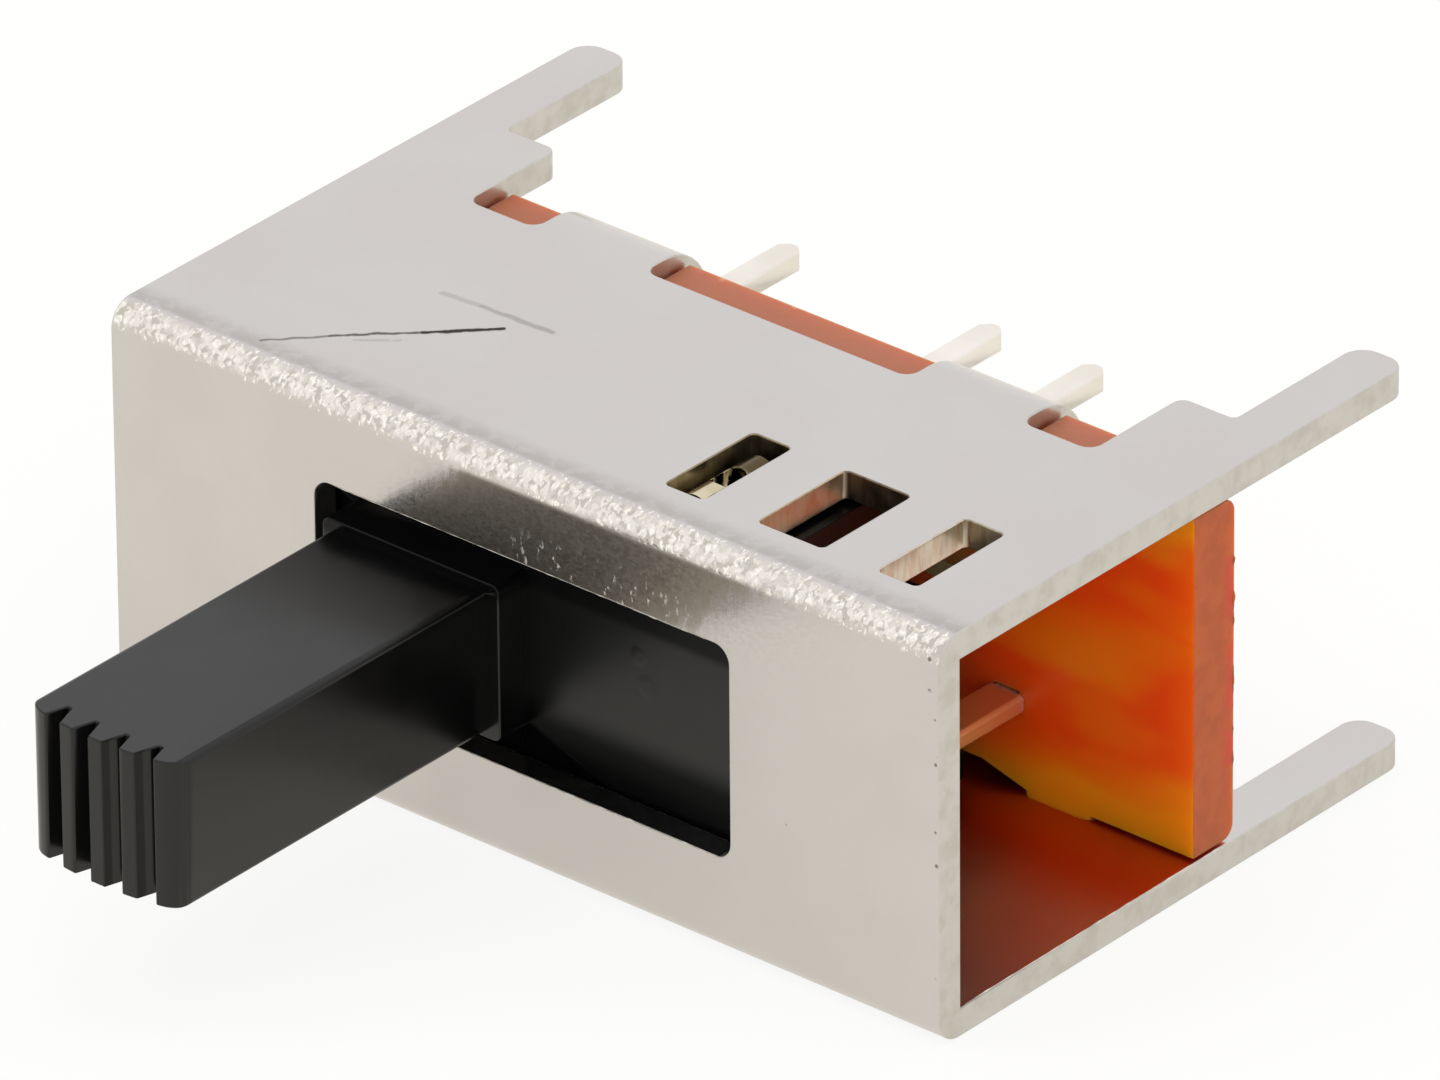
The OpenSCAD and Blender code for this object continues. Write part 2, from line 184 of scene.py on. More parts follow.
def blendColour(tree, mask, a, b):
    return place(tree, "ShaderNodeMix", {0: mask, 6: a, 7: b}, data_type="RGBA").outputs[2]


def bumped(tree, height, strength, distance):
    made = place(tree, "ShaderNodeBump", {"Height": height, "Strength": strength, "Distance": distance})
    return made.outputs[0]


# A colour of 0..255 as the linear one that Blender's sockets take
def srgb(r, g, b):
    c = np.array([r, g, b]) / 255
    c = np.where(c <= 0.04045, c / 12.92, ((c + 0.055) / 1.055) ** 2.4)
    return (float(c[0]), float(c[1]), float(c[2]), 1.0)


def newGroup(name, inputs, outputs):
    group = bpy.data.node_groups.new(name, "ShaderNodeTree")
    for label, kind, value in inputs:
        socket = group.interface.new_socket(name=label, in_out="INPUT", socket_type=kind)
        if value is not None:
            socket.default_value = value
    for label, kind in outputs:
        group.interface.new_socket(name=label, in_out="OUTPUT", socket_type=kind)
    enter = group.nodes.new("NodeGroupInput")
    leave = group.nodes.new("NodeGroupOutput")
    return group, enter.outputs, leave.inputs


def useGroup(tree, group, inputs):
    made = tree.nodes.new("ShaderNodeGroup")
    made.node_tree = group
    for key, value in inputs.items():
        join(tree, value, made.inputs[key])
    return made.outputs


# shared effects
# Fine rolled grain, stretched along X, and wide clouds, in mm
def makeMetalGrain():
    g, i, o = newGroup("metalGrain",
                       [("Vector", "NodeSocketVector", None), ("Size", "NodeSocketFloat", 0.1),
                        ("Stretch", "NodeSocketFloat", 3.0)],
                       [("Grain", "NodeSocketFloat"), ("Clouds", "NodeSocketFloat")])
    across = math2(g, "DIVIDE", 1.0, i["Size"])
    along = math2(g, "DIVIDE", across, i["Stretch"])
    stretch = place(g, "ShaderNodeCombineXYZ", {0: along, 1: across, 2: across}).outputs[0]
    g.links.new(noise(g, vector(g, "MULTIPLY", i["Vector"], stretch), 1.0, 3.0, 0.6), o["Grain"])
    g.links.new(noise(g, i["Vector"], 0.45, 4.0), o["Clouds"])
    return g


# Mask of a scratch: near the straight line from Start to End, with wavy sides and gaps
def makeLineMark():
    g, i, o = newGroup("lineMark",
                       [("Vector", "NodeSocketVector", None), ("Start", "NodeSocketVector", None),
                        ("End", "NodeSocketVector", None), ("Width", "NodeSocketFloat", 0.05),
                        ("Wander", "NodeSocketFloat", 0.03), ("Gaps", "NodeSocketFloat", 0.3)],
                       [("Mask", "NodeSocketFloat")])
    wave = vector(g, "ADD", noise(g, i["Vector"], 3.0, 3.0, output=1), (-0.5, -0.5, -0.5))
    point = vector(g, "ADD", i["Vector"], scaled(g, wave, i["Wander"]))
    reach = vector(g, "SUBTRACT", i["End"], i["Start"])
    offset = vector(g, "SUBTRACT", point, i["Start"])
    over = vector(g, "DOT_PRODUCT", offset, reach, "Value")
    square = vector(g, "DOT_PRODUCT", reach, reach, "Value")
    foot = scaled(g, reach, math2(g, "DIVIDE", over, square, clamp=True))
    distance = vector(g, "LENGTH", vector(g, "SUBTRACT", offset, foot), output="Value")
    near = ramp(g, math2(g, "DIVIDE", distance, i["Width"]), 1.0, 0.35)
    breaks = noise(g, i["Vector"], 5.0, 4.0)
    kept = ramp(g, subtract(g, breaks, multiply(g, i["Gaps"], 0.5)), 0.2, 0.36)
    g.links.new(multiply(g, near, kept), o["Mask"])
    return g


# Mask of scattered specks: cells of a Voronoi pattern whose random number is low, shrunk to dots
def makeSpeckle():
    g, i, o = newGroup("speckle",
                       [("Vector", "NodeSocketVector", None), ("Spacing", "NodeSocketFloat", 0.5),
                        ("Share", "NodeSocketFloat", 0.2), ("Radius", "NodeSocketFloat", 0.3)],
                       [("Mask", "NodeSocketFloat")])
    scale = math2(g, "DIVIDE", 1.0, i["Spacing"])
    cells = place(g, "ShaderNodeTexVoronoi", {"Vector": i["Vector"], "Scale": scale}).outputs
    pick = place(g, "ShaderNodeSeparateColor", {0: cells["Color"]}).outputs[0]
    chosen = math2(g, "LESS_THAN", pick, i["Share"])
    dot = ramp(g, math2(g, "DIVIDE", cells["Distance"], i["Radius"]), 1.0, 0.5)
    g.links.new(multiply(g, chosen, dot), o["Mask"])
    return g


# Mask of a soft-sided box from Low to High, in mm
def makeBlock():
    g, i, o = newGroup("blockMask",
                       [("Vector", "NodeSocketVector", None), ("Low", "NodeSocketVector", None),
                        ("High", "NodeSocketVector", None), ("Soft", "NodeSocketFloat", 0.05)],
                       [("Mask", "NodeSocketFloat")])
    below = vector(g, "SUBTRACT", i["Vector"], i["Low"])
    above = vector(g, "SUBTRACT", i["High"], i["Vector"])
    x, y, z = axes(g, vector(g, "MINIMUM", below, above))
    least = math2(g, "MINIMUM", math2(g, "MINIMUM", x, y), z)
    g.links.new(ramp(g, math2(g, "DIVIDE", least, i["Soft"]), -0.5, 0.5), o["Mask"])
    return g


metalGrain = makeMetalGrain()
lineMark = makeLineMark()
speckle = makeSpeckle()
blockMask = makeBlock()


def box(tree, point, low, high, soft):
    return useGroup(tree, blockMask, {"Vector": point, "Low": low, "High": high, "Soft": soft})["Mask"]


def specks(tree, point, facts):
    spacing, share, radius = facts
    return useGroup(tree, speckle, {"Vector": point, "Spacing": spacing, "Share": share,
                                    "Radius": radius})["Mask"]


def principled(name):
    material = bpy.data.materials.new(name)
    material.use_nodes = True
    tree = material.node_tree
    return material, tree, next(n for n in tree.nodes if n.type == "BSDF_PRINCIPLED")


# A material with a Principled BSDF, and the object coordinates in mm
def newMaterial(name):
    material, tree, shader = principled(name)
    where = place(tree, "ShaderNodeTexCoord").outputs["Object"]
    return material, tree, shader, scaled(tree, where, 1 / mm)


def feed(tree, shader, **inputs):
    for label, value in inputs.items():
        join(tree, value, shader.inputs[label.replace("_", " ")])


# plated sheet steel of the frame
plateLook = {
    "colour": srgb(207, 203, 201),
    "cloudColour": srgb(205, 200, 198),
    "roughness": 0.2,
    "grainSize": 0.05,                   # mm
    "pits": (0.9, 0.05, 0.05),           # spacing in mm, share and radius
    "pitColour": srgb(120, 112, 104),
    "flakeSize": 0.078,                  # mm, of the crazed plating on the upper bend
    "flakeTurn": (0.5, 0.4, 0.3),
    "flakeStretch": (1.0, 0.6, 0.6),
    "curl": 0.2,                         # mm by which noise moves the flakes
    "core": (0.38, 0.22),                # mm from the bend's corner: crazing and its painted highlight begin, and are full
    "sparkle": (0.42, 0.34),             # the same for the painted bright flakes
    # the next three are painted light: the highlight of the bend's core, darker veins between its flakes, and
    # the near-white of its flakes and of the glints over the slot
    "bendHighlightColour": srgb(242, 236, 226),
    "veinShadeColour": srgb(150, 143, 132),
    "paintedSparkleColour": srgb(255, 251, 243),
    "browReflectionColour": srgb(120, 112, 100),   # painted dark reflection: the darker line behind the bend
    "bridgeDullAndReflection": srgb(166, 159, 148), # the strip between the slot and the upper bend: dull, and darkened as a painted reflection of the black lever
    # the strip's right-hand end, paler beyond the lever's painted reflection
    "bridgePale": srgb(174, 166, 154),
    "bridgeLean": 1.1,                   # mm to the right per mm up
    "baseReflectionColour": srgb(202, 112, 66),    # painted reflection of the orange base in the lower plate's inner face
    "foot": (1.4, 3.3),                  # y in mm where it begins, and is full
    "nicks": (0.14, 0.3, 0.34),          # along the front plate's right-hand edge, as for pits
    "nickColour": srgb(70, 62, 55),
    "scratchColour": srgb(58, 52, 46),
    "scratches": [                       # start, end, width and wander in mm, gaps, darkness
        ((-5.9, -1.35, 7.2), (-5.1, -0.5, 7.2), 0.05, 0.12, 0.1, 0.6),
        ((-5.14, -0.55, 7.2), (-3.9, 0.66, 7.2), 0.055, 0.14, 0.0, 0.8),
        ((-4.1, 0.47, 7.2), (-3.19, 1.36, 7.2), 0.07, 0.14, 0.0, 1.0),
        ((-4.75, -0.4, 7.2), (-4.2, 0.05, 7.2), 0.05, 0.05, 0.2, 0.2),
        ((-4.7, 1.65, 7.2), (-3.97, 1.7, 7.2), 0.09, 0.06, 0.0, 0.2),
        ((-3.97, 1.7, 7.2), (-2.5, 1.76, 7.2), 0.08, 0.1, 0.1, 0.32),
    ],
}


# The colour with the crazed plating of the upper bend on it, where a painted highlight, painted darker veins
# and painted bright flakes stand for the bend's sparkle, and the height that the flakes add
def crazedBend(tree, point, parts, colour, look):
    curl = scaled(tree, noise(tree, point, 9.0, 1.0, output=1), look["curl"])
    turned = stretched(tree, vector(tree, "ADD", point, curl), look["flakeStretch"], look["flakeTurn"])
    flake = place(tree, "ShaderNodeTexVoronoi", {"Vector": turned, "Scale": 1 / look["flakeSize"]},
                  feature="SMOOTH_F1").outputs["Distance"]
    patchy = ramp(tree, noise(tree, point, 3.2, 3.0, 0.6), 0.38, 0.56)
    corner = place(tree, "ShaderNodeCombineXYZ", {0: parts[0], 1: frontY, 2: topZ}).outputs[0]
    toCorner = vector(tree, "DISTANCE", point, corner, "Value")
    core = ramp(tree, toCorner, *look["core"])
    # painted highlight along the bend's core, then painted darker veins and painted bright flakes
    colour = blendColour(tree, multiply(tree, core, 0.8), colour, look["bendHighlightColour"])
    veins = multiply(tree, ramp(tree, flake, 0.42, 0.54), ramp(tree, patchy, 0.0, 1.0, 0.4, 1.0))
    colour = blendColour(tree, multiply(tree, core, veins, 0.5), colour, look["veinShadeColour"])
    bright = multiply(tree, ramp(tree, flake, 0.34, 0.2), ramp(tree, patchy, 0.0, 1.0, 0.5, 1.0))
    sparkle = multiply(tree, ramp(tree, toCorner, *look["sparkle"]), bright)
    colour = blendColour(tree, sparkle, colour, look["paintedSparkleColour"])
    # painted dark reflection on the top, just behind the bend
    behind = multiply(tree, ramp(tree, parts[1], frontY + 0.36, frontY + 0.46),
                      ramp(tree, parts[1], frontY + 0.95, frontY + 0.46))
    browReflection = multiply(tree, behind, ramp(tree, parts[2], topZ - 0.2, topZ - 0.05),
                    ramp(tree, patchy, 0.0, 1.0, 0.55, 1.0))
    colour = blendColour(tree, multiply(tree, browReflection, 0.32), colour, look["browReflectionColour"])
    bend = box(tree, point, (-endX - 1, frontY - 1, topZ - bendRadius - 0.02),
               (endX + 1, frontY + bendRadius + 0.02, topZ + 1), 0.16)
    return colour, multiply(tree, flake, bend, patchy, core, 0.8)


# The colour with the dull strip over the slot on it, which is partly dull metal and partly a painted dark
# reflection of the lever, with painted glints; also the strip's mask, its glints and its coarse noise.
# Its ends slant, so its mask is taken in sheared coordinates.
def dullBridge(tree, point, parts, colour, look):
    lean = subtract(tree, parts[0], multiply(tree, subtract(tree, parts[2], slotTop), look["bridgeLean"]))
    torn = noise(tree, stretched(tree, point, (1.0, 1.0, 0.45)), 5.5, 4.0, 0.6)
    ragged = add(tree, lean, multiply(tree, subtract(tree, torn, 0.5), 1.6))
    ends = multiply(tree, ramp(tree, ragged, -2.9, -2.2), ramp(tree, ragged, 3.7, 2.9))
    strip = box(tree, point, (-endX, frontY - 0.2, slotTop - 0.1),
                (endX, frontY + 0.1, topZ - bendRadius + 0.07), 0.08)
    bridge = multiply(tree, ends, strip)
    fine = noise(tree, stretched(tree, point, (1.0, 1.0, 0.5)), 11.0, 3.0, 0.6)
    glint = multiply(tree, ramp(tree, fine, 0.54, 0.62), ramp(tree, torn, 0.46, 0.58),
                     ramp(tree, lean, -1.8, 0.5), ramp(tree, parts[2], 6.4, 6.0))
    # the strip's painted dark reflection, paler towards the right, then near-white painted glints
    dull = blendColour(tree, ramp(tree, lean, 0.2, 3.2), look["bridgeDullAndReflection"], look["bridgePale"])
    dull = blendColour(tree, multiply(tree, glint, 0.8), dull, look["paintedSparkleColour"])
    return blendColour(tree, bridge, colour, dull), bridge, glint, torn


def makePlate(look):
    material, tree, shader, point = newMaterial("platedSteel")
    parts = axes(tree, point)
    grain = useGroup(tree, metalGrain, {"Vector": point, "Size": look["grainSize"], "Stretch": 1.6})
    colour = blendColour(tree, ramp(tree, grain["Clouds"], 0.35, 0.65), look["colour"], look["cloudColour"])
    pits = specks(tree, point, look["pits"])
    colour = blendColour(tree, multiply(tree, pits, 0.4), colour, look["pitColour"])
    colour, flakeHeight = crazedBend(tree, point, parts, colour, look)
    colour, bridge, glint, torn = dullBridge(tree, point, parts, colour, look)

    # the lower plate's inner face is dull, and near the base it carries a painted reflection of the orange
    # laminate
    inner = box(tree, point, (-endX, frontY + 0.6, sheetThick - 0.1),
                (endX - 0.05, baseFront + 0.8, sheetThick + 0.1), 0.06)
    foot = multiply(tree, inner, ramp(tree, parts[1], *look["foot"]))
    colour = blendColour(tree, foot, colour, look["baseReflectionColour"])

    marks = greatest(tree, [
        multiply(tree, useGroup(tree, lineMark, {"Vector": point, "Start": start, "End": end, "Width": width,
                                                 "Wander": wander, "Gaps": gaps})["Mask"], darkness)
        for start, end, width, wander, gaps, darkness in look["scratches"]])
    colour = blendColour(tree, marks, colour, look["scratchColour"])
    nearCorner = box(tree, point, (endX - 0.25, frontY - 1, 6.3), (endX + 0.5, frontY + 0.3, 7.0), 0.1)
    nearEdge = box(tree, point, (endX - 0.14, frontY - 1, 0.4), (endX + 0.5, frontY + 0.1, 6.4), 0.08)
    clusters = ramp(tree, noise(tree, point, 1.4, 2.0), 0.4, 0.48)
    nicked = greatest(tree, [nearCorner, multiply(tree, nearEdge, clusters)])
    nicks = multiply(tree, specks(tree, point, look["nicks"]), nicked, 0.75)
    colour = blendColour(tree, nicks, colour, look["nickColour"])

    rough = ramp(tree, grain["Grain"], 0.3, 0.7, look["roughness"] - 0.03, look["roughness"] + 0.05)
    rough = add(tree, rough, greatest(tree, [
        multiply(tree, marks, 0.3), multiply(tree, bridge, 0.14), multiply(tree, bridge, glint, 0.45),
        multiply(tree, inner, 0.13)]))
    height = add(tree, multiply(tree, grain["Grain"], 0.05), flakeHeight)
    height = add(tree, height, multiply(tree, torn, bridge, 0.1))
    height = subtract(tree, height, multiply(tree, marks, 0.5))
    feed(tree, shader, Base_Color=colour, Roughness=rough, Metallic=1.0,
         Normal=bumped(tree, height, 1.0, 0.02 * mm))
    return material


# sheared edges of the same sheet
edgeLook = {
    "colour": srgb(205, 202, 196),
    "darkColour": srgb(198, 194, 186),
    # on the frame's burrs this near-white is a painted glint
    "burrColour": srgb(238, 234, 224),
    "roughness": 0.34,
    "windowWallShades": [                     # low and high corner in mm, painted shade colour and its streaks
        ((1.85, -0.95, 6.6), (2.1, 1.24, 7.3), srgb(158, 146, 122), srgb(146, 132, 106)),
        ((1.85, 1.24, 6.6), (2.95, 1.5, 7.3), srgb(152, 140, 114), srgb(138, 122, 96)),
        ((3.7, -0.95, 6.6), (3.98, 1.24, 7.3), srgb(196, 176, 150), srgb(186, 164, 134)),
        ((3.7, 1.24, 6.6), (5.4, 1.5, 7.3), srgb(132, 116, 100), srgb(118, 100, 84)),
        ((6.2, -0.95, 6.6), (6.42, 1.24, 7.3), srgb(214, 206, 190), srgb(204, 182, 160)),
        ((6.2, 1.24, 6.6), (7.25, 1.5, 7.3), srgb(182, 172, 150), srgb(162, 148, 124)),
    ],
}


def makeSheared(look, name="shearedSteel", colourName="colour"):
    material, tree, shader, point = newMaterial(name)
    lines = noise(tree, stretched(tree, point, (6.0, 6.0, 0.9)), 1.6, 3.0, 0.6)
    torn = noise(tree, point, 3.0, 4.0, 0.55)
    colour = blendColour(tree, ramp(tree, torn, 0.4, 0.7), look[colourName], look["darkColour"])
    # the windows' walls take painted shade and painted reflection colours, streaked along the shear lines
    for low, high, wall, streaks in look["windowWallShades"]:
        shadedWall = blendColour(tree, ramp(tree, lines, 0.4, 0.64), wall, streaks)
        colour = blendColour(tree, box(tree, point, low, high, 0.05), colour, shadedWall)
    rough = ramp(tree, torn, 0.3, 0.7, look["roughness"] - 0.06, look["roughness"] + 0.1)
    height = add(tree, multiply(tree, lines, 0.3), torn)
    feed(tree, shader, Base_Color=colour, Roughness=rough, Metallic=1.0,
         Normal=bumped(tree, height, 0.16, 0.02 * mm))
    return material


# laminate of the terminal base
baseLook = {
    "faceColour": srgb(250, 106, 9),
    "deepColour": srgb(246, 80, 6),
    "amberColour": srgb(254, 158, 18),
    "bandRise": 0.165,                   # of the amber bands, per mm towards the right-hand end
    "shadeColour": srgb(156, 92, 64),    # of the face towards the frame's middle
    "edgeColour": srgb(185, 90, 38),
    "edgeDark": srgb(176, 82, 34),
    "earColour": srgb(172, 100, 68),     # edges on the side plates' side
    "burrColour": srgb(196, 66, 48),
    "chips": (0.5, 0.16, 0.14),          # spacing in mm, share and radius
    "chipColour": srgb(212, 160, 120),
    "roughness": 0.4,
    "bleedWeight": 0.8,                  # light that spreads inside, how far, and how far each colour goes
    "bleed": 1.0 * mm,
    "bleedColours": (1.0, 0.35, 0.1),
}


def makeLaminate(look):
    material, tree, shader, point = newMaterial("laminate")
    x, y, z = axes(tree, point)
    streams = noise(tree, stretched(tree, point, (0.35, 0.35, 0.9), (0, 0.17, 0)), 1.3, 1.0, 0.4)
    # bands of amber between red ones, which rise a little towards the end
    level = subtract(tree, z, multiply(tree, subtract(tree, x, 4.87), look["bandRise"]))
    level = add(tree, level, multiply(tree, subtract(tree, streams, 0.5), 1.6))
    amber = greatest(tree, [
        ramp(tree, level, 1.7, 0.6), ramp(tree, level, 5.0, 5.7),
        multiply(tree, ramp(tree, level, 2.6, 3.4), ramp(tree, level, 4.3, 3.5), 0.38),
        ramp(tree, x, 7.7, 8.5, 0.0, 0.25)])
    fromCentre = math2(tree, "ABSOLUTE", x)
    colour = blendColour(tree, ramp(tree, streams, 0.42, 0.7), look["deepColour"], look["faceColour"])
    colour = blendColour(tree, multiply(tree, amber, 0.85), colour, look["amberColour"])
    colour = blendColour(tree, ramp(tree, fromCentre, 5.0, 2.4, 0.0, 0.6), colour, look["shadeColour"])
    fibre = noise(tree, point, 2.6, 3.0, 0.55)
    edge = blendColour(tree, ramp(tree, fibre, 0.36, 0.62), look["edgeDark"], look["edgeColour"])
    fromMiddle = math2(tree, "ABSOLUTE", subtract(tree, z, topZ / 2))
    ear = ramp(tree, fromMiddle, topZ / 2 - 0.62, topZ / 2 - 0.45)
    edge = blendColour(tree, ear, edge, look["earColour"])
    onEdge = ramp(tree, y, baseFront + 0.002, baseFront + 0.012)
    colour = blendColour(tree, onEdge, colour, edge)
    burr = box(tree, point, (endX - 0.2, baseRear - 0.24, 1.5), (endX + 0.1, baseRear + 0.1, 5.6), 0.2)
    spots = ramp(tree, noise(tree, point, 1.7), 0.42, 0.54)
    colour = blendColour(tree, multiply(tree, burr, spots, 0.7), colour, look["burrColour"])
    chips = specks(tree, point, look["chips"])
    colour = blendColour(tree, multiply(tree, chips, onEdge, 0.5), colour, look["chipColour"])
    rough = add(tree, multiply(tree, onEdge, 0.15), look["roughness"] - 0.05)
    height = multiply(tree, fibre, add(tree, multiply(tree, onEdge, 0.8), 0.06))
    feed(tree, shader, Base_Color=colour, Roughness=rough, Normal=bumped(tree, height, 0.6, 0.04 * mm))
    shader.inputs["Subsurface Weight"].default_value = look["bleedWeight"]
    shader.inputs["Subsurface Radius"].default_value = look["bleedColours"]
    shader.inputs["Subsurface Scale"].default_value = look["bleed"]
    return material


# black moulded plastic of the slider
sliderLook = {
    "colour": srgb(8, 8, 8),
    "wornColour": srgb(13, 12, 12),
    "roughness": 0.24,
    "deckRoughness": 0.1,                # added on the face in the slot
    "shine": 0.43,
    "shineLost": {"byCollar": 0.66, "deckFoot": 0.85, "blockEnd": 0.55},
    "dimples": [                         # middle and radius in mm of the moulding marks on the deck
        ((1.93, -1.395, 4.33), 0.2),
        ((2.1, -1.395, 3.84), 0.24),
    ],
}


def makeSliderPlastic(look):
    material, tree, shader, point = newMaterial("blackPlastic")
    x, y, z = axes(tree, point)
    waves = noise(tree, point, 1.1, 3.0)
    fine = noise(tree, point, 16.0)
    colour = blendColour(tree, ramp(tree, waves, 0.45, 0.75, 0.0, 0.4), look["colour"], look["wornColour"])
    rough = ramp(tree, waves, 0.3, 0.7, look["roughness"] - 0.03, look["roughness"] + 0.02)
    deck = box(tree, point, (-0.45, frontY + 0.4, slotBottom), (6.0, frontY + 0.7, slotTop), 0.2)
    rough = add(tree, rough, multiply(tree, deck, look["deckRoughness"]))
    marks = greatest(tree, [ramp(tree, vector(tree, "DISTANCE", point, middle, "Value"), radius, radius * 0.4)
                            for middle, radius in look["dimples"]])
    height = add(tree, multiply(tree, waves, 0.35), multiply(tree, fine, 0.05))
    height = add(tree, height, multiply(tree, marks, 0.5))
    feed(tree, shader, Base_Color=colour, Roughness=rough, Normal=bumped(tree, height, 0.5, 0.02 * mm))
    # less shine on the lever's top beside the collar, along the foot of the deck and on the block's end
    fromCollar = subtract(tree, subtract(tree, -2.2, y), multiply(tree, add(tree, x, 3.7), 0.19))
    masks = {
        "byCollar": multiply(tree, ramp(tree, z, 4.7, 4.9), ramp(tree, fromCollar, 2.2, 0.1)),
        "deckFoot": multiply(tree, deck, ramp(tree, z, 3.0, 2.4)),
        "blockEnd": ramp(tree, x, 4.06, 4.1),
    }
    lost = greatest(tree, [multiply(tree, masks[k], share) for k, share in look["shineLost"].items()])
    shine = multiply(tree, subtract(tree, 1.0, lost), look["shine"])
    tree.links.new(shine, shader.inputs["Specular IOR Level"])
    return material


# Plated strip of the terminals, bronze of the clips, bright steel of the spring. The plated strip turns to a
# brassy tint inside the base, and the spring's steel to a painted shade towards its rear, between two places
# along y, in mm.
stripLooks = {
    "platedStrip": {"colour": srgb(244, 239, 232), "stain": srgb(234, 228, 218), "roughness": 0.34,
                    "grain": 0.07, "metal": 0.88, "shade": srgb(240, 218, 158), "shadeAlong": (4.3, 4.1)},
    "springBronze": {"colour": srgb(206, 150, 112), "stain": srgb(160, 104, 74), "roughness": 0.34,
                     "grain": 0.06, "metal": 1.0},
    "springSteel": {"colour": srgb(222, 212, 184), "stain": srgb(190, 176, 140), "roughness": 0.14,
                    "grain": 0.05, "metal": 1.0, "shade": srgb(92, 78, 54), "shadeAlong": (0.3, 0.6)},
}


def makeStrip(name, look):
    material, tree, shader, point = newMaterial(name)
    grain = useGroup(tree, metalGrain, {"Vector": point, "Size": look["grain"], "Stretch": 0.5})
    colour = blendColour(tree, ramp(tree, grain["Clouds"], 0.4, 0.66), look["colour"], look["stain"])
    # painted shade on the spring's rear; a brassy tint on the plated strip inside the base
    if "shade" in look:
        shaded = ramp(tree, axes(tree, point)[1], *look["shadeAlong"])
        colour = blendColour(tree, shaded, colour, look["shade"])
    rough = ramp(tree, grain["Grain"], 0.3, 0.7, look["roughness"] - 0.03, look["roughness"] + 0.05)
    feed(tree, shader, Base_Color=colour, Roughness=rough, Metallic=look["metal"],
         Normal=bumped(tree, grain["Grain"], 0.06, 0.008 * mm))
    return material


plate = makePlate(plateLook)
sheared = makeSheared(edgeLook)
# the frame's burrs, painted near-white for their glint
burrWithGlint = makeSheared(edgeLook, "burrWithGlint", "burrColour")
laminate = makeLaminate(baseLook)
blackPlastic = makeSliderPlastic(sliderLook)
strips = {name: makeStrip(name, look) for name, look in stripLooks.items()}
print("materials made")


# the model's own pieces, with their edges eased
sharpAngle = math.radians(32)
flatAngle = math.radians(0.6)
mergeGap = 0.0005 * mm
slidingNodes = frame["record"]["behaviour"]["bodies"]["sliding_part"]


def bodyOf(node):
    return "sliding_part" if node in slidingNodes else "housing"


# A merged copy of a CAD node with bevelled edges, which stands for it. isCut says which faces take the second
# material, from their centres in mm and their normals.
def easedCopy(node, materials, width, isCut=None):
    mesh = frame["nodes"][node].data.copy()
    mesh.name = node + "_eased"
    work = bmesh.new()
    work.from_mesh(mesh)
    bmesh.ops.remove_doubles(work, verts=work.verts, dist=mergeGap)
    bmesh.ops.dissolve_limit(work, angle_limit=flatAngle, verts=work.verts, edges=work.edges)
    weight = work.edges.layers.float.new("bevel_weight_edge")
    for edge in work.edges:
        edge[weight] = float(edge.is_manifold and edge.is_convex and edge.calc_face_angle() > sharpAngle)
    work.to_mesh(mesh)
    work.free()
    mesh.materials.clear()
    for material in materials:
        mesh.materials.append(material)
    count = len(mesh.polygons)
    mesh.polygons.foreach_set("use_smooth", np.ones(count, bool))
    mesh.polygons.foreach_set("material_index", np.zeros(count, np.int32))
    if isCut:
        centres = np.empty(count * 3)
        normals = np.empty(count * 3)
        mesh.polygons.foreach_get("center", centres)
        mesh.polygons.foreach_get("normal", normals)
        cut = isCut(centres.reshape(-1, 3) / mm, normals.reshape(-1, 3))
        mesh.polygons.foreach_set("material_index", cut.astype(np.int32))
    mesh.set_sharp_from_angle(angle=sharpAngle)
    piece = bpy.data.objects.new(node + "_eased", mesh)
    bpy.context.scene.collection.objects.link(piece)
    bevel = piece.modifiers.new("easedEdges", "BEVEL")
    bevel.width = width * mm
    bevel.segments = 2
    bevel.limit_method = "WEIGHT"
    bevel.use_clamp_overlap = False
    bevel.harden_normals = True
    bevel.miter_outer = "MITER_SHARP"
    if isCut:
        bevel.material = 1
    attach(piece, bodyOf(node))
    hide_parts(node)


wingFrom = 5.05                          # mm from the middle, where the side plates' rear wings begin
tabEndRise = 2.2                         # mm from mid-height to the crimp tabs' ends


# Faces of the frame that the punch sheared: ends, windows, notches, the legs' sides and the slot's wall
def cutOfSheet(centre, normal):
    inPlate = (centre[:, 2] < sheetThick + 0.01) | (centre[:, 2] > topZ - sheetThick - 0.01)
    behind = centre[:, 1] > frontY + 0.7
    atBase = centre[:, 1] > baseFront + 0.2
    sideways = np.abs(normal[:, 0]) > 0.3
    upright = np.abs(normal[:, 2]) < 0.3
    wall = inPlate & behind & upright & ~atBase
    rear = inPlate & upright & atBase & (np.abs(centre[:, 0]) > wingFrom)
    tabEnd = (np.abs(np.abs(centre[:, 2] - topZ / 2) - tabEndRise) < 0.05) & (np.abs(normal[:, 2]) > 0.9)
    return sideways | wall | rear | tabEnd


pieces = {                               # materials, width in mm of the eased edges, and the sheared faces
    "frame": ([plate, sheared], 0.025, cutOfSheet),
    "terminal_base": ([laminate], 0.03, None),
    "slider": ([blackPlastic], 0.03, None),
}
for node, facts in pieces.items():
    easedCopy(node, *facts)
for node in frame["nodes"]:
    if "terminal_" in node and node != "terminal_base":
        easedCopy(node, [strips["platedStrip"]], 0.025)
    elif "clip" in node:
        easedCopy(node, [strips["springBronze"]], 0.02)
    elif node == "detent_spring":
        easedCopy(node, [strips["springSteel"]], 0.02)
print("pieces dressed")


